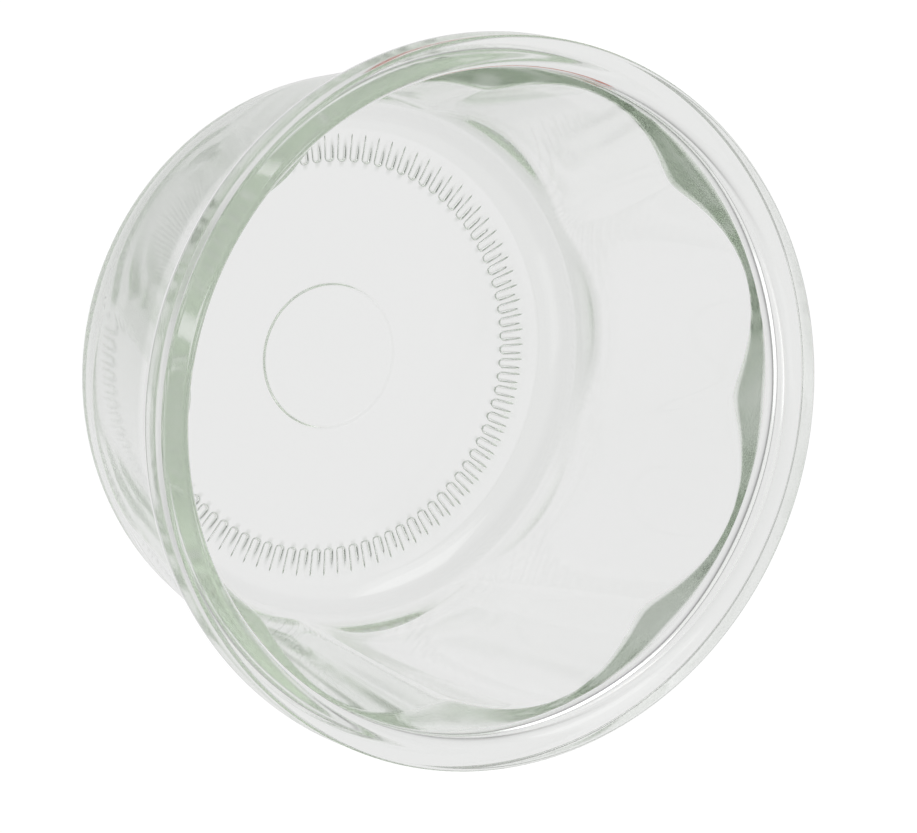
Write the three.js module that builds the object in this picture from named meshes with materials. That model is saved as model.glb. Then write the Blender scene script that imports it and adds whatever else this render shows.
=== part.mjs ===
// Fluted canning jar with its closure: a glass lid, a rubber sealing ring and two spring clamps.
// Millimetres and degrees, +Z up. The origin is the centre of the jar's underside.
// The jar stands open. The lid lies upside down beside it, with the ring laid round its boss
// and the clamps set down on it.
import * as THREE from "three";

// Jar
const JAR_HEIGHT = 55;
const MOUTH_RADIUS = 48.2;
const RIM_WIDTH = 4.8;
const RIM_HEIGHT = 6.4;
const RIM_TOP_ROUND = 1;
const RIM_FOOT_ROUND = 0.5;
const MOUTH_ROUND = 0.4;
const NECK_DEPTH = 6.2;
const NECK_FILLET = 1.9;
const WALL = 2.8;
const FLOOR_THICKNESS = 4.5;
const FLOOR_ROUND = 5.7;
const HEEL_ROUND = 10;

// Flutes: rounded lobes with narrow furrows between them, which lean as they rise
const FLUTE_COUNT = 8;
const FLUTE_START = 3;
const FLUTE_LEAN = 12.3;
const FLUTE_FOOT_RADIUS = 40.8;
const FLUTE_FOOT_HEIGHT = 11;
const FLUTE_FOOT_DEPTH = 2;
const FLUTE_TOP_DEPTH = 3.1;
const FURROW_ROUND = 0.15;
const LEDGE_WIDTH = 0.8;
const LEDGE_FALL = 0.5;
const FURROW_FALL = 2.2;
const FOOT_STEP_FALL = 0.8;
const OUTER_FLUTE_DEPTH = 0.4;

// Sealing ring
const RING_THICKNESS = 2;
const RING_BOSS_CLEARANCE = 0.7;
const RING_EDGE_INSET = 0.2;
const TAB_WIDTH = 13;
const TAB_LENGTH = 9;

// Lid, measured from its sealing face
const LID_EDGE_INSET = 0.5;
const LID_EDGE_THICKNESS = 3.8;
const LID_EDGE_ROUND = 1.2;
const BOSS_MOUTH_CLEARANCE = 2;
const BOSS_DEPTH = 2.6;
const BOSS_ROUND = 0.8;
const SHOULDER_WIDTH = 5.4;
const CROWN_WIDTH = 4.6;
const CROWN_HEIGHT = 7;
const CROWN_SLOPE = 0.8;
const CROWN_ROUND = 1;
const RECESS_DEPTH = 3.6;
const RECESS_ROUND = 1.6;

// Spring clamps
const CLAMP_COUNT = 2;
const STRIP_THICKNESS = 0.7;
const STRIP_WIDTH = 14;
const CLAMP_PRELOAD = 1;
const CLAMP_ARM = 8;
const CLAMP_HOOK = 5;
const CLAMP_BACK = 3.6;
const THUMB_TAB_LENGTH = 7;
const THUMB_TAB_RISE = 5;
const HOOK_LIP = 1.6;
const BEND_RISE = 1.1;
const CLAMP_SPREAD = 34;

// Where the closure lies, and the gap between pieces that rest on each other
const CLOSURE_GAP = 20;
const SEAT_GAP = 0.3;

// Facets
const SEGMENTS_PER_FLUTE = 10;
const LATHE_SEGMENTS = 60;
const RING_ARC_SEGMENTS = 30;
const WALL_STEPS = 7;
const ROUND_STEPS = 4;
const HEEL_STEPS = 6;
const EDGE_STEPS = 2;
const STRIP_STEPS = 36;

const rimRadius = MOUTH_RADIUS + RIM_WIDTH;
const rimFoot = JAR_HEIGHT - RIM_HEIGHT;
const ledgeHeight = JAR_HEIGHT - NECK_DEPTH;
const fluteTop = ledgeHeight - LEDGE_FALL;
const fluteTopRadius = MOUTH_RADIUS - LEDGE_WIDTH;
const wallSlope = (fluteTopRadius - FLUTE_FOOT_RADIUS) / (fluteTop - FLUTE_FOOT_HEIGHT);
const wallAngle = Math.atan(wallSlope);
const footRadius = FLUTE_FOOT_RADIUS - FLUTE_FOOT_DEPTH;
const lidRadius = rimRadius - LID_EDGE_INSET;
const bossRadius = MOUTH_RADIUS - BOSS_MOUTH_CLEARANCE;
const shoulderRadius = lidRadius - SHOULDER_WIDTH;

const glass = new THREE.MeshStandardMaterial({
  color: 0xdce8df,
  roughness: 0.05,
  metalness: 0,
  transparent: true,
  opacity: 0.4,
});
const rubber = new THREE.MeshStandardMaterial({ color: 0xc9522f, roughness: 0.7, metalness: 0 });
const steel = new THREE.MeshStandardMaterial({ color: 0xc6c9cb, roughness: 0.3, metalness: 1 });

// Radius of a flute's crest on the inside of the wall, at a height
function crestRadius(height) {
  return FLUTE_FOOT_RADIUS + wallSlope * (height - FLUTE_FOOT_HEIGHT);
}

// Radius of the wall's outside, over a crest
function outerRadius(height) {
  return crestRadius(height) + WALL / Math.cos(wallAngle);
}

// How deep a furrow is at an angle from its middle: 1 in the furrow and 0 on a crest
function furrow(angle) {
  const wave = Math.hypot(Math.sin((FLUTE_COUNT * angle) / 2), FURROW_ROUND);
  const crest = Math.hypot(1, FURROW_ROUND);
  return 1 - (wave - FURROW_ROUND) / (crest - FURROW_ROUND);
}

// Points of an arc in a profile, from one angle to another, with 0 pointing outwards
function arc(centreRadius, centreHeight, radius, from, to, steps = ROUND_STEPS) {
  const points = [];
  for (let i = 0; i <= steps; i++) {
    const angle = from + ((to - from) * i) / steps;
    const away = radius * Math.cos(angle);
    points.push([centreRadius + away, centreHeight + radius * Math.sin(angle)]);
  }
  return points;
}

// Rows of a lofted body: round rows from profile points, and fluted rows
function roundRows(points) {
  return points.map(([radius, height]) => ({ radius, height, depth: 0, fall: 0 }));
}

// Outside, from the flat underside up to the neck. Its flutes fade out at both ends.
function outsideRows() {
  const slant = WALL / Math.cos(wallAngle);
  const wallAtFloor = crestRadius(0) + slant;
  const heelCentre = wallAtFloor - (HEEL_ROUND * (1 - Math.sin(wallAngle))) / Math.cos(wallAngle);
  const heel = arc(heelCentre, HEEL_ROUND, HEEL_ROUND, -Math.PI / 2, -wallAngle, HEEL_STEPS);
  const wallFoot = heel[heel.length - 1][1];
  const rimUnderside = rimRadius - RIM_FOOT_ROUND - outerRadius(rimFoot);
  const neckFillet = Math.min(NECK_FILLET, rimUnderside);
  const wallTop = rimFoot - neckFillet;
  const rows = roundRows(heel);
  for (let i = 1; i < WALL_STEPS; i++) {
    const share = i / WALL_STEPS;
    const height = wallFoot + (wallTop - wallFoot) * share;
    const depth = OUTER_FLUTE_DEPTH * Math.sqrt(Math.sin(Math.PI * share));
    rows.push({ radius: outerRadius(height), height, depth, fall: 0 });
  }
  const neckRadius = outerRadius(wallTop);
  const fillet = arc(neckRadius + neckFillet, wallTop, neckFillet, Math.PI, Math.PI / 2, EDGE_STEPS);
  return rows.concat(roundRows(fillet));
}

// Rim: a flange with rounded edges and a flat sealing face on top
function rimRows() {
  const foot = arc(
    rimRadius - RIM_FOOT_ROUND,
    rimFoot + RIM_FOOT_ROUND,
    RIM_FOOT_ROUND,
    -Math.PI / 2,
    0,
  );
  const top = arc(
    rimRadius - RIM_TOP_ROUND,
    JAR_HEIGHT - RIM_TOP_ROUND,
    RIM_TOP_ROUND,
    0,
    Math.PI / 2,
  );
  const mouth = arc(
    MOUTH_RADIUS + MOUTH_ROUND,
    JAR_HEIGHT - MOUTH_ROUND,
    MOUTH_ROUND,
    Math.PI / 2,
    Math.PI,
    EDGE_STEPS,
  );
  return roundRows([...foot, ...top, ...mouth]);
}

// Inside: round neck, ledge, leaning flutes, a step at their foot, and the rounded floor.
// The ledge falls away towards each furrow.
function insideRows() {
  const rows = roundRows([[MOUTH_RADIUS, ledgeHeight]]);
  for (let i = 0; i <= WALL_STEPS; i++) {
    const share = i / WALL_STEPS;
    const height = fluteTop + (FLUTE_FOOT_HEIGHT - fluteTop) * share;
    const depth = FLUTE_TOP_DEPTH + (FLUTE_FOOT_DEPTH - FLUTE_TOP_DEPTH) * share;
    rows.push({ radius: crestRadius(height), height, depth, fall: FURROW_FALL * (1 - share) });
  }
  const stepFoot = FLUTE_FOOT_HEIGHT - FOOT_STEP_FALL;
  const bend = Math.min(FLOOR_ROUND, stepFoot - FLOOR_THICKNESS);
  const centre = footRadius - bend;
  const bowl = arc(centre, FLOOR_THICKNESS + bend, bend, 0, -Math.PI / 2, HEEL_STEPS);
  return rows.concat(roundRows(bowl));
}

// One closed body from rows of points, from the underside's centre to the floor's centre.
// Each row is turned by the flutes' lean at its height, so that a furrow follows one column.
function loft(rows, startHeight, endHeight) {
  const around = FLUTE_COUNT * SEGMENTS_PER_FLUTE;
  const points = [0, 0, startHeight];
  for (const row of rows) {
    const rise = (row.height - FLUTE_FOOT_HEIGHT) / (fluteTop - FLUTE_FOOT_HEIGHT);
    const turn = THREE.MathUtils.degToRad(
      FLUTE_START + FLUTE_LEAN * THREE.MathUtils.clamp(rise, 0, 1),
    );
    for (let i = 0; i < around; i++) {
      const angle = (2 * Math.PI * i) / around;
      const radius = row.radius - row.depth * furrow(angle);
      const x = radius * Math.cos(angle + turn);
      const y = radius * Math.sin(angle + turn);
      points.push(x, y, row.height - row.fall * furrow(angle));
    }
  }
  points.push(0, 0, endHeight);
  const last = points.length / 3 - 1;
  const at = (row, i) => 1 + row * around + (i % around);
  const faces = [];
  for (let i = 0; i < around; i++) {
    faces.push(0, at(0, i + 1), at(0, i));
    for (let row = 0; row + 1 < rows.length; row++) {
      faces.push(at(row, i), at(row, i + 1), at(row + 1, i + 1));
      faces.push(at(row, i), at(row + 1, i + 1), at(row + 1, i));
    }
    faces.push(at(rows.length - 1, i), at(rows.length - 1, i + 1), last);
  }
  const geometry = new THREE.BufferGeometry();
  geometry.setAttribute("position", new THREE.Float32BufferAttribute(points, 3));
  geometry.setIndex(faces);
  geometry.computeVertexNormals();
  return geometry;
}

function jarBody() {
  const rows = [...outsideRows(), ...rimRows(), ...insideRows()];
  const mesh = new THREE.Mesh(loft(rows, 0, FLOOR_THICKNESS), glass);
  mesh.name = "jar_body";
  return mesh;
}

// Lid the right way up, with its sealing face at height 0: the boss below it, and above it
// the shoulder that the clamps press on and the raised crown that a jar's foot stacks inside
function glassLid() {
  const crownOuter = shoulderRadius - CROWN_SLOPE;
  const crownInner = crownOuter - CROWN_WIDTH;
  const recess = CROWN_HEIGHT - RECESS_DEPTH;
  const profile = [
    [0, -BOSS_DEPTH],
    ...arc(bossRadius - BOSS_ROUND, BOSS_ROUND - BOSS_DEPTH, BOSS_ROUND, -Math.PI / 2, 0, EDGE_STEPS),
    [bossRadius, 0],
    ...arc(lidRadius - LID_EDGE_ROUND, LID_EDGE_ROUND, LID_EDGE_ROUND, -Math.PI / 2, 0, EDGE_STEPS),
    ...arc(
      lidRadius - LID_EDGE_ROUND,
      LID_EDGE_THICKNESS - LID_EDGE_ROUND,
      LID_EDGE_ROUND,
      0,
      Math.PI / 2,
      EDGE_STEPS,
    ),
    [shoulderRadius, LID_EDGE_THICKNESS],
    ...arc(crownOuter - CROWN_ROUND, CROWN_HEIGHT - CROWN_ROUND, CROWN_ROUND, 0, Math.PI / 2, EDGE_STEPS),
    ...arc(
      crownInner + CROWN_ROUND,
      CROWN_HEIGHT - CROWN_ROUND,
      CROWN_ROUND,
      Math.PI / 2,
      Math.PI,
      EDGE_STEPS,
    ),
    ...arc(crownInner - RECESS_ROUND, recess + RECESS_ROUND, RECESS_ROUND, 0, -Math.PI / 2, EDGE_STEPS),
    [0, recess],
  ];
  const outline = profile.map(([radius, height]) => new THREE.Vector2(radius, height));
  const geometry = new THREE.LatheGeometry(outline, LATHE_SEGMENTS);
  geometry.rotateX(Math.PI / 2);
  const mesh = new THREE.Mesh(geometry, glass);
  mesh.name = "glass_lid";
  return mesh;
}

// Flat ring with a pull tab that points along -X
function sealingRing() {
  const inner = bossRadius + RING_BOSS_CLEARANCE;
  const outer = rimRadius - RING_EDGE_INSET;
  const half = Math.asin(TAB_WIDTH / 2 / outer);
  const tabEnd = outer + TAB_LENGTH - TAB_WIDTH / 2;
  const outline = new THREE.Shape();
  outline.absarc(0, 0, outer, Math.PI + half, 3 * Math.PI - half, false);
  outline.absarc(-tabEnd, 0, TAB_WIDTH / 2, Math.PI / 2, (3 * Math.PI) / 2, false);
  outline.closePath();
  const hole = new THREE.Path();
  hole.absarc(0, 0, inner, 0, 2 * Math.PI, true);
  outline.holes.push(hole);
  const geometry = new THREE.ExtrudeGeometry(outline, {
    depth: RING_THICKNESS,
    bevelEnabled: false,
    curveSegments: RING_ARC_SEGMENTS,
  });
  const mesh = new THREE.Mesh(geometry, rubber);
  mesh.name = "sealing_ring";
  return mesh;
}

// Clamp's side view: thumb tab, arm over the lid's shoulder, sprung back, hook under the rim.
// The jaw is a little less than the closed stack that it grips.
function clampOutline() {
  const stack = RIM_HEIGHT + RING_THICKNESS + LID_EDGE_THICKNESS;
  const jaw = stack - CLAMP_PRELOAD + STRIP_THICKNESS;
  const line = new THREE.SplineCurve([
    new THREE.Vector2(-CLAMP_ARM - THUMB_TAB_LENGTH, THUMB_TAB_RISE),
    new THREE.Vector2(-CLAMP_ARM - THUMB_TAB_LENGTH / 3, BEND_RISE),
    new THREE.Vector2(-CLAMP_ARM / 2, 0),
    new THREE.Vector2(0, BEND_RISE),
    new THREE.Vector2(CLAMP_BACK, -jaw / 4),
    new THREE.Vector2(CLAMP_BACK, (-3 * jaw) / 4),
    new THREE.Vector2(0, -jaw - BEND_RISE),
    new THREE.Vector2(-CLAMP_HOOK, -jaw),
    new THREE.Vector2(-CLAMP_HOOK - HOOK_LIP, -jaw - HOOK_LIP),
  ]);
  const near = [];
  const far = [];
  for (let i = 0; i <= STRIP_STEPS; i++) {
    const share = i / STRIP_STEPS;
    const point = line.getPointAt(share);
    const along = line.getTangentAt(share);
    const across = new THREE.Vector2(-along.y, along.x).multiplyScalar(STRIP_THICKNESS / 2);
    near.push(point.clone().add(across));
    far.unshift(point.clone().sub(across));
  }
  return new THREE.Shape([...near, ...far]);
}

function springClamp(number) {
  const geometry = new THREE.ExtrudeGeometry(clampOutline(), {
    depth: STRIP_WIDTH,
    bevelEnabled: false,
  });
  geometry.computeBoundingBox();
  const centre = geometry.boundingBox.getCenter(new THREE.Vector3());
  geometry.translate(-centre.x, -centre.y, 0);
  const mesh = new THREE.Mesh(geometry, steel);
  mesh.name = `spring_clamp_${number}`;
  return mesh;
}

// Closure laid down: lid on its crown, ring on its sealing face, clamps on its boss
function closure() {
  const group = new THREE.Group();
  group.position.x = -(rimRadius + CLOSURE_GAP + lidRadius);
  const lid = glassLid();
  lid.rotation.x = Math.PI;
  lid.position.z = CROWN_HEIGHT;
  group.add(lid);
  const ring = sealingRing();
  ring.position.z = CROWN_HEIGHT + SEAT_GAP;
  group.add(ring);
  for (let i = 0; i < CLAMP_COUNT; i++) {
    const clamp = springClamp(i + 1);
    const turn = (2 * Math.PI * i) / CLAMP_COUNT;
    const away = CLAMP_SPREAD / 2;
    clamp.rotation.z = turn;
    clamp.position.x = -away * Math.sin(turn);
    clamp.position.y = away * Math.cos(turn);
    clamp.position.z = CROWN_HEIGHT + BOSS_DEPTH + SEAT_GAP;
    group.add(clamp);
  }
  return group;
}

const jar = new THREE.Group();
jar.add(jarBody());
jar.add(closure());

export default jar;
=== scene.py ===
import math

import bmesh
import bpy
from mathutils import Matrix, Vector


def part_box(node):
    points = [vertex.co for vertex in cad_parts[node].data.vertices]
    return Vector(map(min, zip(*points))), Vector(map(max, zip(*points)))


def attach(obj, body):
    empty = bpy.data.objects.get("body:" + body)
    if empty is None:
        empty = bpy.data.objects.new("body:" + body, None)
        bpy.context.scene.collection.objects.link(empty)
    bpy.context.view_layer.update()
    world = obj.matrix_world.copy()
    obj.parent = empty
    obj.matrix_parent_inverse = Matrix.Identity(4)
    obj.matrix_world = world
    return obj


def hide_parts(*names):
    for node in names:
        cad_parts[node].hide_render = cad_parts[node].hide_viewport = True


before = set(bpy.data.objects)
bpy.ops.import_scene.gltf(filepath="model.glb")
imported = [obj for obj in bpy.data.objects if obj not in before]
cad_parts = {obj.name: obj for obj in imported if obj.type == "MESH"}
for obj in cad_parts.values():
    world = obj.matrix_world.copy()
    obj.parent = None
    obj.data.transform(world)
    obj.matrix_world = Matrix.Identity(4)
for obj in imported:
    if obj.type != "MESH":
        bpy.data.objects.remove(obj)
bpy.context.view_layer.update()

# Sizes are those of the frame's solids, in metres, apart from rounding that only the eye needs
MM = 0.001

# Jar
jar_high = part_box("jar_body")[1]
JAR_HEIGHT = jar_high.z
RIM_RADIUS = jar_high.x
RIM_WIDTH = 4.8 * MM
MOUTH_RADIUS = RIM_RADIUS - RIM_WIDTH
RIM_HEIGHT = 6.4 * MM
RIM_TOP_ROUND = 0.6 * MM
RIM_FOOT_ROUND = 0.5 * MM
MOUTH_ROUND = 2.1 * MM
NECK_DEPTH = 6.2 * MM
NECK_FILLET = 1.9 * MM
WALL = 2.8 * MM
FLOOR_THICKNESS = 4.5 * MM
HEEL_ROUND = 10 * MM
FLOOR_ROUND = 5.7 * MM

# Flutes: rounded lobes with narrow furrows between them, which lean as they rise
FLUTE_COUNT = 8
FLUTE_START = 3
FLUTE_LEAN = 12.3
FLUTE_FOOT_RADIUS = 40.8 * MM
FLUTE_FOOT_HEIGHT = 11 * MM
FLUTE_FOOT_DEPTH = 2 * MM
FLUTE_TOP_DEPTH = 3.1 * MM
FURROW_ROUND = 0.15
LEDGE_WIDTH = 0.8 * MM
LEDGE_FALL = 0.5 * MM
FURROW_FALL = 2.2 * MM
LEDGE_ROUND = 0.4 * MM
FOOT_STEP_FALL = 1.2 * MM
FOOT_STEP_ROUND = 0.7 * MM
OUTER_FLUTE_DEPTH = 0.4 * MM

# Underside: a shallow hollow with a plain disc, inside a ring of short fingers
HOLLOW_DEPTH = 0.8 * MM
DISC_RADIUS = 10.6 * MM
DISC_DROP = 0.45 * MM
DISC_EDGE = 0.5 * MM
FINGER_COUNT = 90
FINGER_MARGIN = 1 * MM
FINGER_LEAD = 0.15 * MM
FINGER_START = 29.4 * MM
FINGER_FADE = 30.8 * MM
FINGER_END = 34.4 * MM
FINGER_SHARE = 0.55
FINGER_EDGE = 0.06
FINGER_TIP_STEEPNESS = 4
HEEL_LEAD = 0.1 * MM

# Lid, measured from its sealing face
lid_low, lid_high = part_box("glass_lid")
LID_RADIUS = (lid_high.x - lid_low.x) / 2
LID_EDGE_THICKNESS = 3.8 * MM
LID_EDGE_ROUND = 1.2 * MM
BOSS_INSET = 6.3 * MM
BOSS_RADIUS = LID_RADIUS - BOSS_INSET
BOSS_DEPTH = 2.6 * MM
BOSS_ROUND = 0.8 * MM
BOSS_FILLET = 0.5 * MM
SHOULDER_WIDTH = 5.4 * MM
SHOULDER_FILLET = 0.8 * MM
CROWN_WIDTH = 4.6 * MM
CROWN_HEIGHT = 7 * MM
CROWN_SLOPE = 0.8 * MM
CROWN_ROUND = 1 * MM
RECESS_DEPTH = 3.6 * MM
RECESS_ROUND = 1.6 * MM

# Sealing ring
ring_low, ring_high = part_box("sealing_ring")
RING_OUTER = (ring_high.y - ring_low.y) / 2
RING_BOSS_CLEARANCE = 0.7 * MM
RING_INNER = BOSS_RADIUS + RING_BOSS_CLEARANCE
RING_EDGE_ROUND = 0.3 * MM
TAB_WIDTH = 13 * MM
TAB_FILLET = 3 * MM

# Spring clamps
STRIP_THICKNESS = 0.7 * MM
STRIP_EDGE_ROUND = 0.22 * MM
STRIP_CORNER = 3 * MM
STRIP_CORNER_POWER = 2.5
CLAMP_JAW = 11.9 * MM
CLAMP_ARM = 8 * MM
CLAMP_HOOK = 5 * MM
CLAMP_BACK = 3.6 * MM
THUMB_TAB_LENGTH = 7 * MM
THUMB_TAB_RISE = 5 * MM
HOOK_LIP = 1.6 * MM
BEND_RISE = 1.1 * MM

# Mesh fineness. The smallest row lies at the pole's radius, round the axis.
COLUMNS = 4 * FINGER_COUNT
LID_COLUMNS = 256
SPAN_STEPS = 14
POLE_RADIUS = 0.5 * MM

# Camera, from the photograph's ellipses, in a picture of 917 by 833
IMAGE_WIDTH = 917
FOCAL_PIXELS = 5992
CAMERA_DISTANCE = 900 * MM
CAMERA_ELEVATION = 60.22
CAMERA_ROLL = 106.95
CAMERA_RIGHT = 20.42 * MM
CAMERA_UP = -9.39 * MM

# Floor and sky, as glass and metal see them: levels are shares of white, and heights are sines
FLOOR_NEAR_LEVEL = 0.82
FLOOR_FAR_LEVEL = 0.25
FLOOR_NEAR = 70 * MM
FLOOR_FAR = 220 * MM
FLOOR_CENTRE = (0, 30 * MM, 0)
HORIZON_LEVEL = 0.55
SKY_LEVEL = 1.1
HORIZON_TOP = 0.35
SKY_FOOT = 0.75

# Floor, as the camera sees it
FLOOR_HALF = 3.0
FLOOR_GAP = 0.05 * MM
PAPER_COLOUR = "#f4f4f4"
PAPER_WHITE = 1.07
SHADOW_SHARE = 0.1

# Glass
GLASS_IOR = 1.52
GLASS_BASE = "#ffffff"
GLASS_TINT = "#d9e8d2"
GLASS_DENSITY = 8.0
GLASS_SHADOW = "#f6f8f6"
GLASS_ROUGHNESS = 0.08
GLASS_RIPPLE = 0.006 * MM
GLASS_RIPPLE_LENGTH = 9 * MM

# Painted shade in the jar's glass colour, kept to one side of the axis. A side is its middle, where the
# painted shade is full each way and where it ends, in degrees round the axis.
PAINTED_SHADE_COLOUR = "#98a295"
LEDGE_PAINTED_SIDE = (115, 85, 105)
OUTSIDE_PAINTED_SHADE = 0.6
OUTSIDE_PAINTED_SIDE = (222, 32, 75)
OUTSIDE_PAINTED_SHADE_TOP = 38 * MM
BOWL_PAINTED_SHADE = 0.15
BOWL_PAINTED_SIDE = (110, 50, 110)
FOOT_PAINTED_SHADE = 0.35
FOOT_PAINTED_SIDE = (140, 35, 65)
FINGER_PAINTED_SHADE = 1.0
FINGER_PAINTED_LINE = 0.32 * MM
FINGER_PAINTED_LINE_END = 33.2 * MM

# Rubber
RUBBER_DARK = "#b94a2a"
RUBBER_LIGHT = "#cf6038"
RUBBER_ROUGHNESS = 0.62
RUBBER_CLOUD = 6 * MM
RUBBER_GRAIN = 0.4 * MM
RUBBER_GRAIN_DEPTH = 0.03 * MM

# Steel
STEEL_COLOUR = "#c6c9cb"
STEEL_BRIGHT_ROUGHNESS = 0.2
STEEL_DULL_ROUGHNESS = 0.4
STEEL_LINE_LENGTH = 9 * MM
STEEL_LINE_WIDTH = 0.15 * MM
STEEL_LINE_DEPTH = 0.004 * MM

rim_foot = JAR_HEIGHT - RIM_HEIGHT
ledge_height = JAR_HEIGHT - NECK_DEPTH
flute_top = ledge_height - LEDGE_FALL
flute_top_radius = MOUTH_RADIUS - LEDGE_WIDTH
wall_slope = (flute_top_radius - FLUTE_FOOT_RADIUS) / (flute_top - FLUTE_FOOT_HEIGHT)
wall_angle = math.atan(wall_slope)
wall_slant = WALL / math.cos(wall_angle)
quarter = math.pi / 2


def linear(code):
    """An sRGB hex colour as linear red, green, blue and alpha."""
    shares = [int(code[i:i + 2], 16) / 255 for i in (1, 3, 5)]
    return [s / 12.92 if s <= 0.04045 else ((s + 0.055) / 1.055) ** 2.4 for s in shares] + [1.0]


def add_node(tree, kind, inputs=None, **settings):
    """Adds a node. Each socket in inputs, by name or number, gets a value or the output that feeds it."""
    node = tree.nodes.new(kind)
    for name, value in settings.items():
        setattr(node, name, value)
    for key, value in (inputs or {}).items():
        if isinstance(value, bpy.types.NodeSocket):
            tree.links.new(value, node.inputs[key])
        else:
            node.inputs[key].default_value = value
    return node


def new_material(name):
    """A material with an empty node tree."""
    material = bpy.data.materials.new(name)
    material.use_nodes = True
    material.node_tree.nodes.clear()
    return material


# Pressed soda-lime glass: clear, with a faint green that shows only along thick edges,
# and the slow ripple that a mould leaves on the skin
def pressed_glass(name):
    material = new_material(name)
    tree = material.node_tree
    place = add_node(tree, "ShaderNodeTexCoord").outputs["Object"]
    waves = add_node(
        tree, "ShaderNodeTexNoise",
        {"Vector": place, "Scale": 1 / GLASS_RIPPLE_LENGTH, "Detail": 1.5, "Roughness": 0.4},
    )
    bump = add_node(
        tree, "ShaderNodeBump",
        {"Height": waves.outputs["Fac"], "Strength": 1.0, "Distance": GLASS_RIPPLE},
    )
    glass = add_node(
        tree, "ShaderNodeBsdfPrincipled",
        {
            "Base Color": linear(GLASS_BASE),
            "Roughness": GLASS_ROUGHNESS,
            "IOR": GLASS_IOR,
            "Transmission Weight": 1.0,
            "Normal": bump.outputs["Normal"],
        },
    )
    clear = add_node(tree, "ShaderNodeBsdfTransparent", {"Color": linear(GLASS_SHADOW)})
    shadow = add_node(tree, "ShaderNodeLightPath").outputs["Is Shadow Ray"]
    surface = add_node(
        tree, "ShaderNodeMixShader", {0: shadow, 1: glass.outputs[0], 2: clear.outputs[0]}
    )
    tint = add_node(
        tree, "ShaderNodeVolumeAbsorption", {"Color": linear(GLASS_TINT), "Density": GLASS_DENSITY}
    )
    add_node(
        tree, "ShaderNodeOutputMaterial",
        {"Surface": surface.outputs[0], "Volume": tint.outputs[0]},
    )
    return material


# The glass colour takes a painted shade towards grey green, full on the ledge on one side of the axis,
# where it stands for the thick corner of glass behind the ledge, which looks denser than the wall.
# One side of the outside, of the bowl and of the step under the flutes takes a little of the same
# painted shade, and so do the outlines of the fingers, which are too fine to show it by their own shape.
def paint_glass_shade(material):
    tree = material.node_tree
    painted_shade = add_node(tree, "ShaderNodeAttribute", attribute_name="painted_shade").outputs["Fac"]
    # Painted shade: the glass colour goes towards the shade colour as the stored value rises
    colour = add_node(
        tree, "ShaderNodeMix", {0: painted_shade, 6: linear(GLASS_BASE), 7: linear(PAINTED_SHADE_COLOUR)}, data_type="RGBA"
    )
    glass = next(node for node in tree.nodes if node.bl_idname == "ShaderNodeBsdfPrincipled")
    tree.links.new(colour.outputs[2], glass.inputs["Base Color"])


# Natural rubber: matt orange red, a little mottled, with a fine moulded grain
def natural_rubber():
    material = new_material("natural_rubber")
    tree = material.node_tree
    place = add_node(tree, "ShaderNodeTexCoord").outputs["Object"]
    clouds = add_node(
        tree, "ShaderNodeTexNoise", {"Vector": place, "Scale": 1 / RUBBER_CLOUD, "Detail": 3.0}
    )
    colour = add_node(
        tree, "ShaderNodeMix",
        {0: clouds.outputs["Fac"], 6: linear(RUBBER_DARK), 7: linear(RUBBER_LIGHT)},
        data_type="RGBA",
    )
    grain = add_node(
        tree, "ShaderNodeTexNoise", {"Vector": place, "Scale": 1 / RUBBER_GRAIN, "Detail": 2.0}
    )
    bump = add_node(
        tree, "ShaderNodeBump",
        {"Height": grain.outputs["Fac"], "Strength": 0.6, "Distance": RUBBER_GRAIN_DEPTH},
    )
    rubber = add_node(
        tree, "ShaderNodeBsdfPrincipled",
        {
            "Base Color": colour.outputs[2],
            "Roughness": RUBBER_ROUGHNESS,
            "Normal": bump.outputs["Normal"],
        },
    )
    add_node(tree, "ShaderNodeOutputMaterial", {"Surface": rubber.outputs[0]})
    return material


# Rolled stainless spring strip: bright, with fine rolling lines along its length
def spring_steel():
    material = new_material("rolled_spring_steel")
    tree = material.node_tree
    place = add_node(tree, "ShaderNodeTexCoord").outputs["Object"]
    stretched = add_node(
        tree, "ShaderNodeVectorMath",
        {0: place, 1: (1 / STEEL_LINE_LENGTH, 1 / STEEL_LINE_LENGTH, 1 / STEEL_LINE_WIDTH)},
        operation="MULTIPLY",
    )
    lines = add_node(
        tree, "ShaderNodeTexNoise", {"Vector": stretched.outputs[0], "Scale": 1.0, "Detail": 2.0}
    )
    gloss = add_node(
        tree, "ShaderNodeMapRange",
        {
            "Value": lines.outputs["Fac"],
            "To Min": STEEL_BRIGHT_ROUGHNESS,
            "To Max": STEEL_DULL_ROUGHNESS,
        },
    )
    bump = add_node(
        tree, "ShaderNodeBump",
        {"Height": lines.outputs["Fac"], "Strength": 0.4, "Distance": STEEL_LINE_DEPTH},
    )
    steel = add_node(
        tree, "ShaderNodeBsdfPrincipled",
        {
            "Base Color": linear(STEEL_COLOUR),
            "Metallic": 1.0,
            "Roughness": gloss.outputs[0],
            "Normal": bump.outputs["Normal"],
        },
    )
    add_node(tree, "ShaderNodeOutputMaterial", {"Surface": steel.outputs[0]})
    return material


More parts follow.
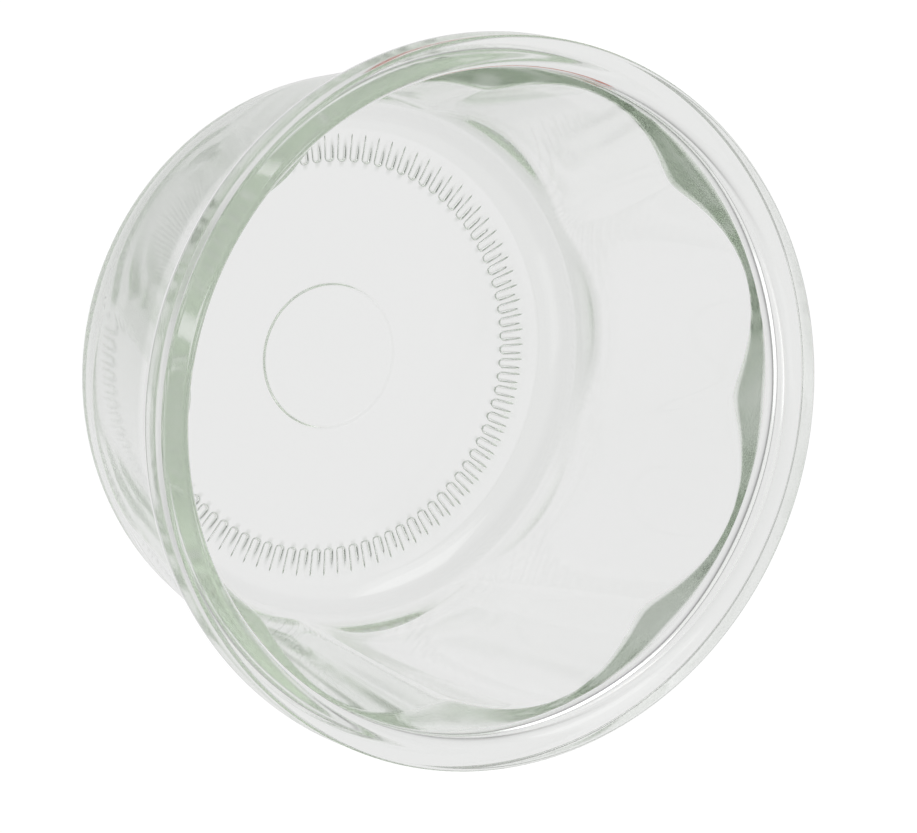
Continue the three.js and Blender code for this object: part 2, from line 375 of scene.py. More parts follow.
# Seamless white studio paper: full white to the camera, with a trace of shadow, darker with
# distance to glass and metal, and a plain matt white to everything else
def studio_paper():
    material = new_material("white_studio_paper")
    tree = material.node_tree
    rays = add_node(tree, "ShaderNodeLightPath").outputs
    paper = add_node(tree, "ShaderNodeBsdfDiffuse", {"Color": linear(PAPER_COLOUR)})
    white = add_node(tree, "ShaderNodeEmission", {"Strength": PAPER_WHITE})
    seen = add_node(
        tree, "ShaderNodeMixShader", {0: SHADOW_SHARE, 1: white.outputs[0], 2: paper.outputs[0]}
    )
    place = add_node(tree, "ShaderNodeTexCoord").outputs["Object"]
    away = add_node(
        tree, "ShaderNodeVectorMath", {0: place, 1: FLOOR_CENTRE}, operation="DISTANCE"
    ).outputs["Value"]
    level = add_node(
        tree, "ShaderNodeMapRange",
        {
            "Value": away,
            "From Min": FLOOR_NEAR,
            "From Max": FLOOR_FAR,
            "To Min": FLOOR_NEAR_LEVEL,
            "To Max": FLOOR_FAR_LEVEL,
        },
        interpolation_type="SMOOTHSTEP",
    )
    behind = add_node(tree, "ShaderNodeEmission", {"Strength": level.outputs[0]})
    glassy = add_node(
        tree, "ShaderNodeMath",
        {0: rays["Is Glossy Ray"], 1: rays["Is Transmission Ray"]},
        operation="MAXIMUM",
    )
    through = add_node(
        tree, "ShaderNodeMixShader",
        {0: glassy.outputs[0], 1: paper.outputs[0], 2: behind.outputs[0]},
    )
    shown = add_node(
        tree, "ShaderNodeMixShader",
        {0: rays["Is Camera Ray"], 1: through.outputs[0], 2: seen.outputs[0]},
    )
    add_node(tree, "ShaderNodeOutputMaterial", {"Surface": shown.outputs[0]})
    return material


def studio_world():
    """White backdrop to the camera. Glass sees a dim horizon under a brighter ceiling."""
    world = bpy.data.worlds.new("studio")
    bpy.context.scene.world = world
    world.use_nodes = True
    tree = world.node_tree
    tree.nodes.clear()
    rays = add_node(tree, "ShaderNodeLightPath").outputs
    way = add_node(tree, "ShaderNodeTexCoord").outputs["Generated"]
    height = add_node(tree, "ShaderNodeSeparateXYZ", {0: way}).outputs["Z"]
    level = add_node(
        tree, "ShaderNodeMapRange",
        {
            "Value": height,
            "From Min": HORIZON_TOP,
            "From Max": SKY_FOOT,
            "To Min": HORIZON_LEVEL,
            "To Max": SKY_LEVEL,
        },
        interpolation_type="SMOOTHSTEP",
    )
    room = add_node(tree, "ShaderNodeBackground", {"Strength": level.outputs[0]})
    white = add_node(tree, "ShaderNodeBackground", {"Strength": 1.0})
    shown = add_node(
        tree, "ShaderNodeMixShader",
        {0: rays["Is Camera Ray"], 1: room.outputs[0], 2: white.outputs[0]},
    )
    add_node(tree, "ShaderNodeOutputWorld", {"Surface": shown.outputs[0]})


def arc(centre_radius, centre_height, radius, start, end, steps):
    """Points of an arc in a profile, with angle 0 pointing outwards."""
    points = []
    for i in range(steps + 1):
        angle = start + (end - start) * i / steps
        across = radius * math.cos(angle)
        points.append((centre_radius + across, centre_height + radius * math.sin(angle)))
    return points


def line(start, end, steps):
    """Rows from one to another in even steps, without the first."""
    rows = []
    for i in range(1, steps + 1):
        share = i / steps
        rows.append(tuple(a + (b - a) * share for a, b in zip(start, end)))
    return rows


def toward(start, end, length):
    """The row at a distance from start, on the way to end."""
    whole = math.hypot(end[0] - start[0], end[1] - start[1])
    return tuple(a + (b - a) * length / whole for a, b in zip(start, end))


def bend(before, corner, after, length, steps):
    """Rows that round a corner, from a length before it to a length after it."""
    start = toward(corner, before, length)
    end = toward(corner, after, length)
    rows = []
    for i in range(steps + 1):
        t = i / steps
        shares = ((1 - t) ** 2, 2 * t * (1 - t), t * t)
        values = zip(start, corner, end)
        rows.append(tuple(sum(s * v for s, v in zip(shares, value)) for value in values))
    return rows


def smooth_step(value, start, end):
    """0 before start, 1 past end, and an even S between."""
    share = min(1.0, max(0.0, (value - start) / (end - start)))
    return share * share * (3 - 2 * share)


def crest_radius(height):
    """Radius of a flute's crest on the inside of the wall."""
    return FLUTE_FOOT_RADIUS + wall_slope * (height - FLUTE_FOOT_HEIGHT)


# A row of the jar is (radius, height, furrow depth, furrow fall, finger drop, finger width).
def plain(points):
    return [(radius, height, 0, 0, 0, 0) for radius, height in points]


heel_setback = HEEL_ROUND * (1 - math.sin(wall_angle)) / math.cos(wall_angle)
heel_centre = crest_radius(0) + wall_slant - heel_setback


def heel_height(radius):
    """Height of the heel's curve over the surface that the jar stands on."""
    return HEEL_ROUND - math.sqrt(HEEL_ROUND ** 2 - max(0.0, radius - heel_centre) ** 2)


def underside_rows():
    """From the hollow's middle over the plain disc to the ring of fingers."""
    disc_height = HOLLOW_DEPTH - DISC_DROP
    middle = (POLE_RADIUS, disc_height)
    disc_edge = (DISC_RADIUS, disc_height)
    hollow_edge = (DISC_RADIUS + DISC_EDGE, HOLLOW_DEPTH)
    finger_edge = (FINGER_START - FINGER_MARGIN, HOLLOW_DEPTH)
    rows = [middle, (DISC_RADIUS / 2, disc_height)]
    rows += bend(middle, disc_edge, hollow_edge, DISC_EDGE / 2, steps=4)
    rows += bend(disc_edge, hollow_edge, finger_edge, DISC_EDGE / 2, steps=4)
    rows += [(DISC_RADIUS * 2, HOLLOW_DEPTH), finger_edge]
    return plain(rows)


def finger_rows():
    """The ring where fingers of glass stand down from the hollow and run out into the heel."""
    tip = math.pi * FINGER_START / FINGER_COUNT * FINGER_SHARE
    tip_steps = 8
    body_steps = 12
    body_start = FINGER_START + tip
    body = FINGER_END - body_start
    radii = [FINGER_START - FINGER_LEAD]
    radii += [FINGER_START + tip * i / tip_steps for i in range(tip_steps)]
    radii += [body_start + body * i / body_steps for i in range(body_steps + 1)]
    rows = []
    for radius in radii:
        into = (radius - FINGER_START) / tip
        width = math.sqrt(max(0.0, 1 - max(0.0, 1 - into) ** 2)) if into > 0 else 0.0
        hollow = HOLLOW_DEPTH * (1 - smooth_step(radius, FINGER_FADE, FINGER_END))
        drop = hollow * min(1.0, max(0.0, FINGER_TIP_STEEPNESS * into))
        rows.append((radius, heel_height(radius) + hollow, 0, 0, drop, width))
    return rows


def outside_rows():
    """Heel, the wall with its shallow outer flutes, and the neck under the rim."""
    start = math.acos((FINGER_END + HEEL_LEAD - heel_centre) / HEEL_ROUND)
    heel = arc(heel_centre, HEEL_ROUND, HEEL_ROUND, -start, -wall_angle, steps=20)
    foot = heel[-1][1]
    top = rim_foot - NECK_FILLET
    rows = plain(heel)
    steps = 18
    for i in range(1, steps):
        share = i / steps
        height = foot + (top - foot) * share
        depth = OUTER_FLUTE_DEPTH * math.sqrt(math.sin(math.pi * share))
        rows.append((crest_radius(height) + wall_slant, height, depth, 0, 0, 0))
    neck = crest_radius(top) + wall_slant
    rows += plain(arc(neck + NECK_FILLET, top, NECK_FILLET, 2 * quarter, quarter, steps=8))
    return rows


def rim_rows():
    """Rim from its foot over its edge and flat top to the mouth."""
    foot = (RIM_RADIUS - RIM_FOOT_ROUND, rim_foot + RIM_FOOT_ROUND)
    top = (RIM_RADIUS - RIM_TOP_ROUND, JAR_HEIGHT - RIM_TOP_ROUND)
    mouth = (MOUTH_RADIUS + MOUTH_ROUND, JAR_HEIGHT - MOUTH_ROUND)
    points = arc(*foot, RIM_FOOT_ROUND, -quarter, 0, steps=10)
    points += arc(*top, RIM_TOP_ROUND, 0, quarter, steps=10)
    points += arc(*mouth, MOUTH_ROUND, quarter, 2 * quarter, steps=7)
    return plain(points)


def inside_rows():
    """Neck, ledge that falls towards the furrows, leaning flutes, the step under them, and the bowl."""
    mouth = (MOUTH_RADIUS, JAR_HEIGHT - MOUTH_ROUND, 0, 0, 0, 0)
    neck = (MOUTH_RADIUS, ledge_height, 0, 0, 0, 0)
    ledge = (flute_top_radius, flute_top, FLUTE_TOP_DEPTH, FURROW_FALL, 0, 0)
    foot = (FLUTE_FOOT_RADIUS, FLUTE_FOOT_HEIGHT, FLUTE_FOOT_DEPTH, 0, 0, 0)
    step = (FLUTE_FOOT_RADIUS - FLUTE_FOOT_DEPTH, FLUTE_FOOT_HEIGHT - FOOT_STEP_FALL, 0, 0, 0, 0)
    bowl_top = (step[0], step[1] - FOOT_STEP_ROUND, 0, 0, 0, 0)
    rows = bend(mouth, neck, ledge, LEDGE_ROUND, steps=5)
    rows += bend(neck, ledge, foot, LEDGE_ROUND, steps=6)
    foot_bend = bend(ledge, foot, step, FOOT_STEP_ROUND, steps=5)
    rows += line(rows[-1], foot_bend[0], steps=24)
    rows += foot_bend[1:]
    rows += bend(foot, step, bowl_top, FOOT_STEP_ROUND, steps=5)
    bowl = min(FLOOR_ROUND, bowl_top[1] - FLOOR_THICKNESS)
    floor = arc(step[0] - bowl, FLOOR_THICKNESS + bowl, bowl, 0, -quarter, steps=16)
    rows += plain(floor[1:] + [(FINGER_START / 2, FLOOR_THICKNESS), (POLE_RADIUS, FLOOR_THICKNESS)])
    return rows


def lathe(name, rows, columns, ends):
    """A closed skin of rows turned about the axis. A row's column count may double or halve the next."""
    vertices = [(0, 0, ends[0])]
    starts = []
    for row, count in zip(rows, columns):
        starts.append(len(vertices))
        for i in range(count):
            angle = 2 * math.pi * i / count
            vertices.append((row[0] * math.cos(angle), row[0] * math.sin(angle), row[1]))
    vertices.append((0, 0, ends[1]))
    last = len(vertices) - 1
    faces = [(0, starts[0] + (i + 1) % columns[0], starts[0] + i) for i in range(columns[0])]
    for k in range(len(rows) - 1):
        low, high = columns[k], columns[k + 1]
        here = [starts[k] + i for i in range(low)] + [starts[k]]
        there = [starts[k + 1] + i for i in range(high)] + [starts[k + 1]]
        for i in range(min(low, high)):
            if low == high:
                faces.append((here[i], here[i + 1], there[i + 1], there[i]))
            elif low < high:
                faces.append((here[i], here[i + 1], there[2 * i + 2], there[2 * i + 1], there[2 * i]))
            else:
                faces.append((here[2 * i], here[2 * i + 1], here[2 * i + 2], there[i + 1], there[i]))
    faces += [(starts[-1] + i, starts[-1] + (i + 1) % columns[-1], last) for i in range(columns[-1])]
    mesh = bpy.data.meshes.new(name)
    mesh.from_pydata(vertices, [], faces)
    return mesh


def side_painted_shade(value, side):
    """A painted shade by angle that keeps to a side, given as its middle, where it is full and where it
    ends.
    """
    middle, full, end = side

    def painted_shade(angle):
        away = abs((math.degrees(angle) - middle + 180) % 360 - 180)
        return value * min(1.0, max(0.0, (end - away) / (end - full)))

    return painted_shade


def finger_painted_shade(radius):
    """A painted dark outline by angle round the fingers, at a radius."""
    pitch = 2 * math.pi / FINGER_COUNT
    half = pitch * FINGER_START * FINGER_SHARE / 2
    strength = FINGER_PAINTED_SHADE * (1 - smooth_step(radius, FINGER_FADE, FINGER_PAINTED_LINE_END))

    def painted_shade(angle):
        aside = radius * ((angle + pitch / 2) % pitch - pitch / 2)
        outside = math.hypot(min(0.0, radius - FINGER_START - half), aside) - half
        return strength * max(0.0, 1 - abs(outside) / FINGER_PAINTED_LINE)

    return painted_shade


def painted_shade_attribute(mesh, painted_shades, columns):
    """Gives each point of a lathed skin its row's painted shade, by angle."""
    spread = [0.0]
    for painted_shade, count in zip(painted_shades, columns):
        spread += [painted_shade(2 * math.pi * i / count) for i in range(count)]
    spread.append(0.0)
    mesh.attributes.new("painted_shade", "FLOAT", "POINT").data.foreach_set("value", spread)


def row_attribute(mesh, name, values, columns):
    """Gives each point of a lathed skin its row's value."""
    spread = [0.0]
    for value, count in zip(values, columns):
        spread += [value] * count
    spread.append(0.0)
    mesh.attributes.new(name, "FLOAT", "POINT").data.foreach_set("value", spread)


def shape_tree(name, numbers):
    """A geometry tree with a shape, some numbers and a material going in, and a shape coming out."""
    tree = bpy.data.node_groups.new(name, "GeometryNodeTree")
    face = tree.interface
    face.new_socket("Geometry", in_out="INPUT", socket_type="NodeSocketGeometry")
    for number in numbers:
        face.new_socket(number, in_out="INPUT", socket_type="NodeSocketFloat")
    face.new_socket("Material", in_out="INPUT", socket_type="NodeSocketMaterial")
    face.new_socket("Geometry", in_out="OUTPUT", socket_type="NodeSocketGeometry")
    return tree, add_node(tree, "NodeGroupInput").outputs


def finish_tree(tree, given, shape):
    """Smooths, realises and glazes or paints what a tree has made."""
    smooth = add_node(tree, "GeometryNodeSetShadeSmooth", {"Geometry": shape}).outputs[0]
    real = add_node(tree, "GeometryNodeRealizeInstances", {"Geometry": smooth}).outputs[0]
    done = add_node(tree, "GeometryNodeSetMaterial", {"Geometry": real, "Material": given["Material"]})
    add_node(tree, "NodeGroupOutput", {0: done.outputs[0]})


def fluted_jar_tree():
    """Presses leaning furrows into a lathed jar, and lets the fingers stand down under it."""
    tree, given = shape_tree(
        "fluted_jar",
        ("Half Flutes", "Furrow Round", "Crest", "Start", "End", "Foot Height", "Top Height",
         "Fingers", "Finger Share", "Finger Edge"),
    )
    position = add_node(tree, "GeometryNodeInputPosition").outputs[0]
    part = add_node(tree, "ShaderNodeSeparateXYZ", {0: position}).outputs
    angle = add_node(tree, "ShaderNodeMath", {0: part["Y"], 1: part["X"]}, operation="ARCTAN2").outputs[0]

    # How far down a furrow a point is: 1 in its middle and 0 on a crest
    swing = add_node(
        tree, "ShaderNodeMath", {0: angle, 1: given["Half Flutes"]}, operation="MULTIPLY"
    ).outputs[0]
    sine = add_node(tree, "ShaderNodeMath", {0: swing}, operation="SINE").outputs[0]
    slope = add_node(tree, "ShaderNodeCombineXYZ", {0: sine, 1: given["Furrow Round"]}).outputs[0]
    wave = add_node(tree, "ShaderNodeVectorMath", {0: slope}, operation="LENGTH").outputs["Value"]
    furrow = add_node(
        tree, "ShaderNodeMapRange",
        {
            "Value": wave,
            "From Min": given["Furrow Round"],
            "From Max": given["Crest"],
            "To Min": 1.0,
            "To Max": 0.0,
        },
    ).outputs[0]
    depth = add_node(tree, "GeometryNodeInputNamedAttribute", {"Name": "furrow_depth"}).outputs["Attribute"]
    fall = add_node(tree, "GeometryNodeInputNamedAttribute", {"Name": "furrow_fall"}).outputs["Attribute"]
    cut = add_node(tree, "ShaderNodeMath", {0: depth, 1: furrow}, operation="MULTIPLY").outputs[0]
    sink = add_node(tree, "ShaderNodeMath", {0: fall, 1: furrow}, operation="MULTIPLY").outputs[0]

    # How far a point is inside a finger: 1 within its width and 0 between fingers
    turn = add_node(
        tree, "ShaderNodeMapRange",
        {"Value": angle, "From Max": 2 * math.pi, "To Max": given["Fingers"]},
        clamp=False,
    ).outputs[0]
    aside = add_node(tree, "ShaderNodeMath", {0: turn, 1: 0.5}, operation="PINGPONG").outputs[0]
    width = add_node(tree, "GeometryNodeInputNamedAttribute", {"Name": "finger_width"}).outputs["Attribute"]
    half = add_node(
        tree, "ShaderNodeMath", {0: width, 1: given["Finger Share"]}, operation="MULTIPLY"
    ).outputs[0]
    past = add_node(tree, "ShaderNodeMath", {0: half, 1: aside}, operation="SUBTRACT").outputs[0]
    least = add_node(
        tree, "ShaderNodeMath", {0: given["Finger Edge"], 1: -1.0}, operation="MULTIPLY"
    ).outputs[0]
    finger = add_node(
        tree, "ShaderNodeMapRange",
        {"Value": past, "From Min": least, "From Max": given["Finger Edge"]},
        interpolation_type="SMOOTHSTEP",
    ).outputs[0]
    stand = add_node(tree, "GeometryNodeInputNamedAttribute", {"Name": "finger_drop"}).outputs["Attribute"]
    drop = add_node(tree, "ShaderNodeMath", {0: stand, 1: finger}, operation="MULTIPLY").outputs[0]

    # Move each point inwards and down, then turn it with the lean of the flutes
    level = add_node(
        tree, "ShaderNodeVectorMath", {0: position, 1: (1, 1, 0)}, operation="MULTIPLY"
    ).outputs[0]
    outward = add_node(tree, "ShaderNodeVectorMath", {0: level}, operation="NORMALIZE").outputs[0]
    inset = add_node(tree, "ShaderNodeVectorMath", {0: outward, "Scale": cut}, operation="SCALE").outputs[0]
    pressed = add_node(
        tree, "ShaderNodeVectorMath", {0: position, 1: inset}, operation="SUBTRACT"
    ).outputs[0]
    down = add_node(tree, "ShaderNodeMath", {0: sink, 1: drop}, operation="ADD").outputs[0]
    lowering = add_node(tree, "ShaderNodeCombineXYZ", {2: down}).outputs[0]
    lowered = add_node(
        tree, "ShaderNodeVectorMath", {0: pressed, 1: lowering}, operation="SUBTRACT"
    ).outputs[0]
    lean = add_node(
        tree, "ShaderNodeMapRange",
        {
            "Value": part["Z"],
            "From Min": given["Foot Height"],
            "From Max": given["Top Height"],
            "To Min": given["Start"],
            "To Max": given["End"],
        },
    ).outputs[0]
    turned = add_node(
        tree, "ShaderNodeVectorRotate", {"Vector": lowered, "Angle": lean}, rotation_type="Z_AXIS"
    ).outputs[0]
    shaped = add_node(
        tree, "GeometryNodeSetPosition", {"Geometry": given["Geometry"], "Position": turned}
    ).outputs[0]
    finish_tree(tree, given, shaped)
    return tree


def strip_tree():
    """Sweeps a thin rounded section along a level path, and rounds the corners of its two ends."""
    tree, given = shape_tree(
        "spring_strip",
        ("Thickness", "Width", "Edge Round", "Corner", "Corner Share", "Corner Power"),
    )
    path = add_node(tree, "GeometryNodeMeshToCurve", {0: given["Geometry"]}).outputs[0]
    gone = add_node(tree, "GeometryNodeSplineParameter").outputs["Length"]
    whole = add_node(tree, "GeometryNodeSplineLength").outputs["Length"]
    left = add_node(tree, "ShaderNodeMath", {0: whole, 1: gone}, operation="SUBTRACT").outputs[0]
    nearest = add_node(tree, "ShaderNodeMath", {0: gone, 1: left}, operation="MINIMUM").outputs[0]
    taper = add_node(
        tree, "ShaderNodeMapRange",
        {"Value": nearest, "From Max": given["Corner"], "To Min": 1.0, "To Max": 0.0},
    ).outputs[0]
    curved = add_node(
        tree, "ShaderNodeMath", {0: taper, 1: given["Corner Power"]}, operation="POWER"
    ).outputs[0]
    bite = add_node(
        tree, "ShaderNodeMath", {0: curved, 1: given["Corner Share"]}, operation="MULTIPLY"
    ).outputs[0]
    share = add_node(tree, "ShaderNodeMath", {0: 1.0, 1: bite}, operation="SUBTRACT").outputs[0]
    marked = add_node(
        tree, "GeometryNodeStoreNamedAttribute",
        {"Geometry": path, "Name": "width_share", "Value": share},
    ).outputs[0]
    flat = add_node(
        tree, "GeometryNodeCurvePrimitiveQuadrilateral",
        {"Width": given["Thickness"], "Height": given["Width"]},
    ).outputs[0]
    section = add_node(
        tree, "GeometryNodeFilletCurve",
        {"Curve": flat, "Count": 3, "Radius": given["Edge Round"]},
        mode="POLY",
    ).outputs[0]
    swept = add_node(
        tree, "GeometryNodeCurveToMesh",
        {"Curve": marked, "Profile Curve": section, "Fill Caps": True},
    ).outputs[0]
    position = add_node(tree, "GeometryNodeInputPosition").outputs[0]
    kept = add_node(tree, "GeometryNodeInputNamedAttribute", {"Name": "width_share"}).outputs["Attribute"]
    narrow = add_node(tree, "ShaderNodeCombineXYZ", {0: 1.0, 1: 1.0, 2: kept}).outputs[0]
    place = add_node(
        tree, "ShaderNodeVectorMath", {0: position, 1: narrow}, operation="MULTIPLY"
    ).outputs[0]
    shaped = add_node(
        tree, "GeometryNodeSetPosition", {"Geometry": swept, "Position": place}
    ).outputs[0]
    finish_tree(tree, given, shaped)
    return tree


def realised(data, tree, values):
    """The plain mesh that a tree makes of some data, with the tree's named inputs set."""
    rough = bpy.data.objects.new("rough", data)
    bpy.context.scene.collection.objects.link(rough)
    modifier = rough.modifiers.new("shape", "NODES")
    modifier.node_group = tree
    for socket in tree.interface.items_tree:
        if socket.name in values:
            modifier[socket.identifier] = values[socket.name]
    evaluated = rough.evaluated_get(bpy.context.evaluated_depsgraph_get())
    mesh = bpy.data.meshes.new_from_object(evaluated)
    bpy.data.objects.remove(rough)
    return mesh


def add_piece(name, mesh, body, node):
    """Puts a finished mesh in the scene in place of a node of the frame."""
    piece = bpy.data.objects.new(name, mesh)
    bpy.context.scene.collection.objects.link(piece)
    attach(piece, body)
    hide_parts(node)


def jar_painted_shades(under, fingers, outside, rim, inside):
    """Each row's painted shade, as a function of the angle round the axis."""
    no_painted_shade = side_painted_shade(0, LEDGE_PAINTED_SIDE)
    step_foot = FLUTE_FOOT_HEIGHT - FOOT_STEP_FALL - FOOT_STEP_ROUND
    painted_shades = [no_painted_shade] * len(under) + [finger_painted_shade(row[0]) for row in fingers]
    for row in outside:
        low_wall = HEEL_ROUND < row[1] < OUTSIDE_PAINTED_SHADE_TOP
        painted_shades.append(side_painted_shade(OUTSIDE_PAINTED_SHADE * low_wall, OUTSIDE_PAINTED_SIDE))
    painted_shades += [no_painted_shade] * len(rim)
    for row in inside:
        if row[1] < step_foot:
            painted_shades.append(side_painted_shade(BOWL_PAINTED_SHADE * (row[1] > FLOOR_THICKNESS), BOWL_PAINTED_SIDE))
        elif row[1] < FLUTE_FOOT_HEIGHT + FOOT_STEP_ROUND:
            painted_shades.append(side_painted_shade(FOOT_PAINTED_SHADE, FOOT_PAINTED_SIDE))
        else:
            painted_shades.append(side_painted_shade(flute_top <= row[1] <= ledge_height, LEDGE_PAINTED_SIDE))
    return painted_shades


def fluted_jar():
    """One skin of rows for the whole jar, which a tree then presses flutes and fingers into."""
    under = underside_rows()
    fingers = finger_rows()
    outside = outside_rows()
    rim = rim_rows()
    inside = inside_rows()
    rest = outside + rim + inside
    rows = under + fingers + rest
    columns = [COLUMNS] * (len(under) - 1) + [2 * COLUMNS]
    columns += [4 * COLUMNS] * len(fingers)
    columns += [2 * COLUMNS] + [COLUMNS] * (len(rest) - 1)
    skin = lathe("jar_skin", rows, columns, (under[0][1], FLOOR_THICKNESS))
    names = ("furrow_depth", "furrow_fall", "finger_drop", "finger_width")
    for number, name in enumerate(names, start=2):
        row_attribute(skin, name, [row[number] for row in rows], columns)
    # Painted shade stored on the skin, which darkens the jar's glass colour on some sides
    painted_shade_attribute(skin, jar_painted_shades(under, fingers, outside, rim, inside), columns)
    glass = pressed_glass("jar_glass_with_painted_shade")
    paint_glass_shade(glass)
    values = {
        "Half Flutes": FLUTE_COUNT / 2,
        "Furrow Round": FURROW_ROUND,
        "Crest": math.hypot(1, FURROW_ROUND),
        "Start": math.radians(FLUTE_START),
        "End": math.radians(FLUTE_START + FLUTE_LEAN),
        "Foot Height": FLUTE_FOOT_HEIGHT,
        "Top Height": flute_top,
        "Fingers": float(FINGER_COUNT),
        "Finger Share": FINGER_SHARE / 2,
        "Finger Edge": FINGER_EDGE,
        "Material": glass,
    }
    add_piece("jar", realised(skin, fluted_jar_tree(), values), "jar", "jar_body")


def lid_profile():
    """Section of the lid the right way up, from the recess's middle over crown and edge to the boss."""
    shoulder = LID_RADIUS - SHOULDER_WIDTH
    crown_outer = shoulder - CROWN_SLOPE
    crown_inner = crown_outer - CROWN_WIDTH
    recess = CROWN_HEIGHT - RECESS_DEPTH
    edge = LID_RADIUS - LID_EDGE_ROUND
    crown_bend = CROWN_HEIGHT - CROWN_ROUND
    top_edge = (edge, LID_EDGE_THICKNESS)
    boss_edge = (BOSS_RADIUS, -BOSS_DEPTH)
    points = [(POLE_RADIUS, recess), (crown_inner / 2, recess)]
    points += arc(crown_inner - RECESS_ROUND, recess + RECESS_ROUND, RECESS_ROUND, -quarter, 0, steps=8)
    points += arc(crown_inner + CROWN_ROUND, crown_bend, CROWN_ROUND, 2 * quarter, quarter, steps=8)
    points += arc(crown_outer - CROWN_ROUND, crown_bend, CROWN_ROUND, quarter, 0, steps=8)
    points += bend(points[-1], (shoulder, LID_EDGE_THICKNESS), top_edge, SHOULDER_FILLET, steps=6)
    points += arc(edge, LID_EDGE_THICKNESS - LID_EDGE_ROUND, LID_EDGE_ROUND, quarter, 0, steps=8)
    points += arc(edge, LID_EDGE_ROUND, LID_EDGE_ROUND, 0, -quarter, steps=8)
    points += bend((edge, 0), (BOSS_RADIUS, 0), boss_edge, BOSS_FILLET, steps=5)
    points += arc(BOSS_RADIUS - BOSS_ROUND, BOSS_ROUND - BOSS_DEPTH, BOSS_ROUND, 0, -quarter, steps=8)
    points += [(BOSS_RADIUS / 2, -BOSS_DEPTH), (POLE_RADIUS, -BOSS_DEPTH)]
    return points


def glass_lid():
    """Lid turned upside down, standing on its crown."""
    rows = [(radius, CROWN_HEIGHT - height) for radius, height in lid_profile()]
    mesh = lathe("lid", rows, [LID_COLUMNS] * len(rows), (rows[0][1], rows[-1][1]))
    mesh.transform(Matrix.Translation(((lid_low.x + lid_high.x) / 2, 0, lid_low.z)))
    mesh.shade_smooth()
    mesh.materials.append(pressed_glass("pressed_lid_glass"))
    add_piece("lid", mesh, "lid", "glass_lid")


def ring_outline():
    """The ring's outer edge with a filleted pull tab along -X, about the ring's centre."""
    half = TAB_WIDTH / 2
    tip = ring_high.x - ring_low.x - RING_OUTER
    end = tip - half
    root = math.sqrt((RING_OUTER + TAB_FILLET) ** 2 - (half + TAB_FILLET) ** 2)
    swing = math.asin((half + TAB_FILLET) / (RING_OUTER + TAB_FILLET))
    points = arc(0, 0, RING_OUTER, -2 * quarter + swing, 2 * quarter - swing, steps=180)
    points += arc(-root, half + TAB_FILLET, TAB_FILLET, -swing, -quarter, steps=8)
    points += arc(-end, 0, half, quarter, 3 * quarter, steps=24)
    points += arc(-root, -half - TAB_FILLET, TAB_FILLET, quarter, swing, steps=8)
    return points


def sealing_ring():
    """Flat ring with rounded edges and a pull tab."""
    curve = bpy.data.curves.new("ring", "CURVE")
    curve.dimensions = "2D"
    curve.fill_mode = "BOTH"
    curve.extrude = (ring_high.z - ring_low.z) / 2 - RING_EDGE_ROUND
    curve.bevel_depth = RING_EDGE_ROUND
    curve.bevel_resolution = 2
    curve.offset = -RING_EDGE_ROUND
    hole = arc(0, 0, RING_INNER, 4 * quarter, 0, steps=180)[1:]
    for points in (ring_outline(), hole):
        spline = curve.splines.new("POLY")
        spline.points.add(len(points) - 1)
        for point, place in zip(spline.points, points):
            point.co = (*place, 0, 1)
        spline.use_cyclic_u = True
    rough = bpy.data.objects.new("rough", curve)
    bpy.context.scene.collection.objects.link(rough)
    evaluated = rough.evaluated_get(bpy.context.evaluated_depsgraph_get())
    mesh = bpy.data.meshes.new_from_object(evaluated)
    bpy.data.objects.remove(rough)
    shape = bmesh.new()
    shape.from_mesh(mesh)
    bmesh.ops.remove_doubles(shape, verts=shape.verts, dist=0.001 * MM)
    shape.to_mesh(mesh)
    shape.free()
    mesh.transform(Matrix.Translation((ring_high.x - RING_OUTER, 0, (ring_low.z + ring_high.z) / 2)))
    mesh.materials.clear()
    mesh.materials.append(natural_rubber())
    mesh.shade_smooth()
    mesh.set_sharp_from_angle(angle=math.radians(30))
    add_piece("ring", mesh, "ring", "sealing_ring")


def clamp_path():
    """Side view of a clamp: thumb tab, arm, sprung back and hook, as one smooth line of points."""
    knots = [
        (-CLAMP_ARM - THUMB_TAB_LENGTH, THUMB_TAB_RISE),
        (-CLAMP_ARM - THUMB_TAB_LENGTH / 3, BEND_RISE),
        (-CLAMP_ARM / 2, 0),
        (0, BEND_RISE),
        (CLAMP_BACK, -CLAMP_JAW / 4),
        (CLAMP_BACK, -3 * CLAMP_JAW / 4),
        (0, -CLAMP_JAW - BEND_RISE),
        (-CLAMP_HOOK, -CLAMP_JAW),
        (-CLAMP_HOOK - HOOK_LIP, -CLAMP_JAW - HOOK_LIP),
    ]
    knots = [Vector(knot) for knot in knots]
    around = [knots[0]] + knots + [knots[-1]]
    points = []
    for i in range(len(knots) - 1):
        before, start, end, after = around[i:i + 4]
        leave = (end - before) / 2
        arrive = (after - start) / 2
        for k in range(SPAN_STEPS):
            t = k / SPAN_STEPS
            point = start * (2 * t ** 3 - 3 * t ** 2 + 1) + leave * (t ** 3 - 2 * t ** 2 + t)
            points.append(point + end * (3 * t ** 2 - 2 * t ** 3) + arrive * (t ** 3 - t ** 2))
    return points + [knots[-1]]


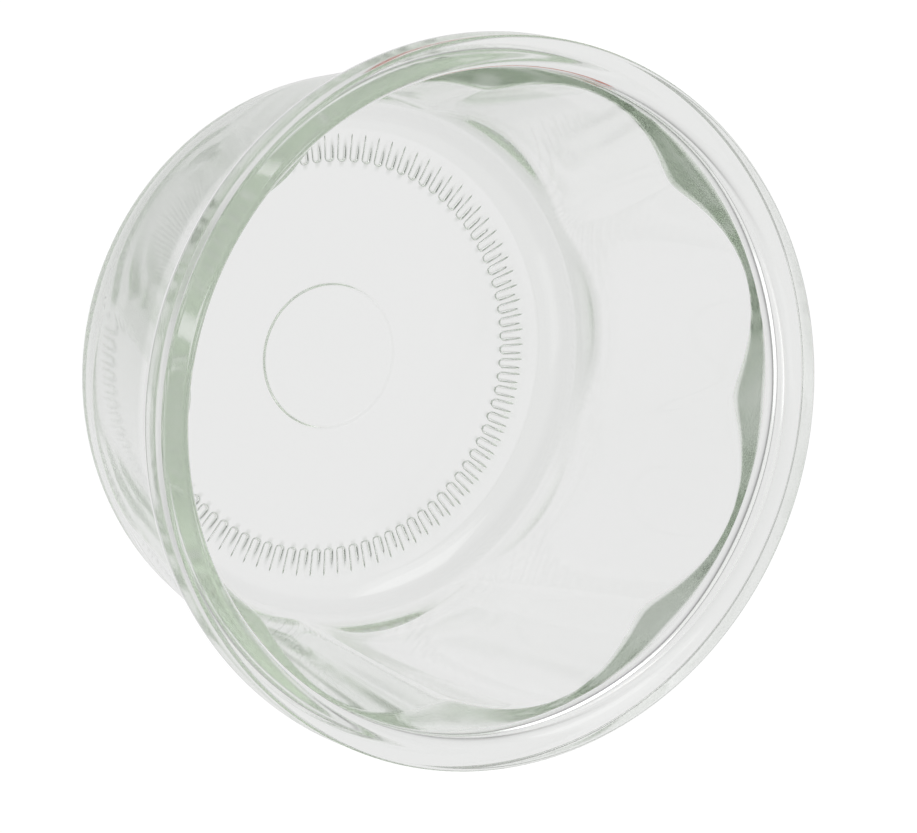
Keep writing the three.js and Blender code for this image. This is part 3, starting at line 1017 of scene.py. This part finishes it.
def spring_clamps():
    """Two clamps alike, the second turned half round."""
    points = clamp_path()
    path = bpy.data.meshes.new("clamp_path")
    edges = [(i, i + 1) for i in range(len(points) - 1)]
    path.from_pydata([(*point, 0) for point in points], edges, [])
    steel = spring_steel()
    tree = strip_tree()
    for number in (1, 2):
        low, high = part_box(f"spring_clamp_{number}")
        width = high.z - low.z
        values = {
            "Thickness": STRIP_THICKNESS,
            "Width": width,
            "Edge Round": STRIP_EDGE_ROUND,
            "Corner": STRIP_CORNER,
            "Corner Share": STRIP_CORNER / width * 2,
            "Corner Power": STRIP_CORNER_POWER,
            "Material": steel,
        }
        mesh = realised(path, tree, values)
        sides = [vertex.co.to_2d() for vertex in mesh.vertices]
        across = [side.x for side in sides]
        along = [side.y for side in sides]
        middle = Vector(((min(across) + max(across)) / 2, (min(along) + max(along)) / 2, 0))
        mesh.transform(Matrix.Translation(-middle))
        mesh.transform(Matrix.Rotation(math.pi * (number - 1), 4, "Z"))
        mesh.transform(Matrix.Translation((low + high) / 2))
        add_piece(f"clamp_{number}", mesh, f"clamp_{number}", f"spring_clamp_{number}")


def studio():
    """Floor, backdrop light and softboxes."""
    signs = ((-1, -1), (1, -1), (1, 1), (-1, 1))
    corners = [(FLOOR_HALF * x, FLOOR_HALF * y, 0) for x, y in signs]
    mesh = bpy.data.meshes.new("floor")
    mesh.from_pydata(corners, [], [(0, 1, 2, 3)])
    floor = bpy.data.objects.new("floor", mesh)
    floor.location.z = -FLOOR_GAP
    mesh.materials.append(studio_paper())
    bpy.context.scene.collection.objects.link(floor)
    studio_world()
    softbox("overhead", place=(-1.2, -0.2, 1.5), side=1.0, watts=3)
    softbox("side", place=(0.9, -0.9, 1.2), side=0.9, watts=1)


def softbox(name, place, side, watts):
    """A square lamp that faces the origin."""
    data = bpy.data.lights.new(name, "AREA")
    data.size = side
    data.energy = watts
    lamp = bpy.data.objects.new(name, data)
    lamp.location = place
    lamp.rotation_mode = "QUATERNION"
    lamp.rotation_quaternion = Vector(place).to_track_quat("Z", "Y")
    bpy.context.scene.collection.objects.link(lamp)


def photograph_camera():
    """The photograph's view of the jar."""
    elevation = math.radians(CAMERA_ELEVATION)
    roll = math.radians(CAMERA_ROLL)
    back = Vector((0, -math.cos(elevation), math.sin(elevation)))
    level = Vector((1, 0, 0))
    upright = back.cross(level)
    right = level * math.cos(roll) + upright * math.sin(roll)
    up = upright * math.cos(roll) - level * math.sin(roll)
    data = bpy.data.cameras.new("camera")
    data.sensor_width = 36
    data.sensor_fit = "HORIZONTAL"
    data.lens = FOCAL_PIXELS * data.sensor_width / IMAGE_WIDTH
    data.clip_start = 0.01
    data.clip_end = 20
    camera = bpy.data.objects.new("camera", data)
    place = back * CAMERA_DISTANCE + right * CAMERA_RIGHT + up * CAMERA_UP
    turn = Matrix((right, up, back)).transposed().to_4x4()
    camera.matrix_world = Matrix.Translation(place) @ turn
    bpy.context.scene.collection.objects.link(camera)
    bpy.context.scene.camera = camera


fluted_jar()
glass_lid()
sealing_ring()
spring_clamps()
studio()
photograph_camera()
bpy.context.scene.view_settings.view_transform = "Standard"
bpy.context.scene.cycles.max_bounces = 40
bpy.context.scene.cycles.glossy_bounces = 32
bpy.context.scene.cycles.transmission_bounces = 40
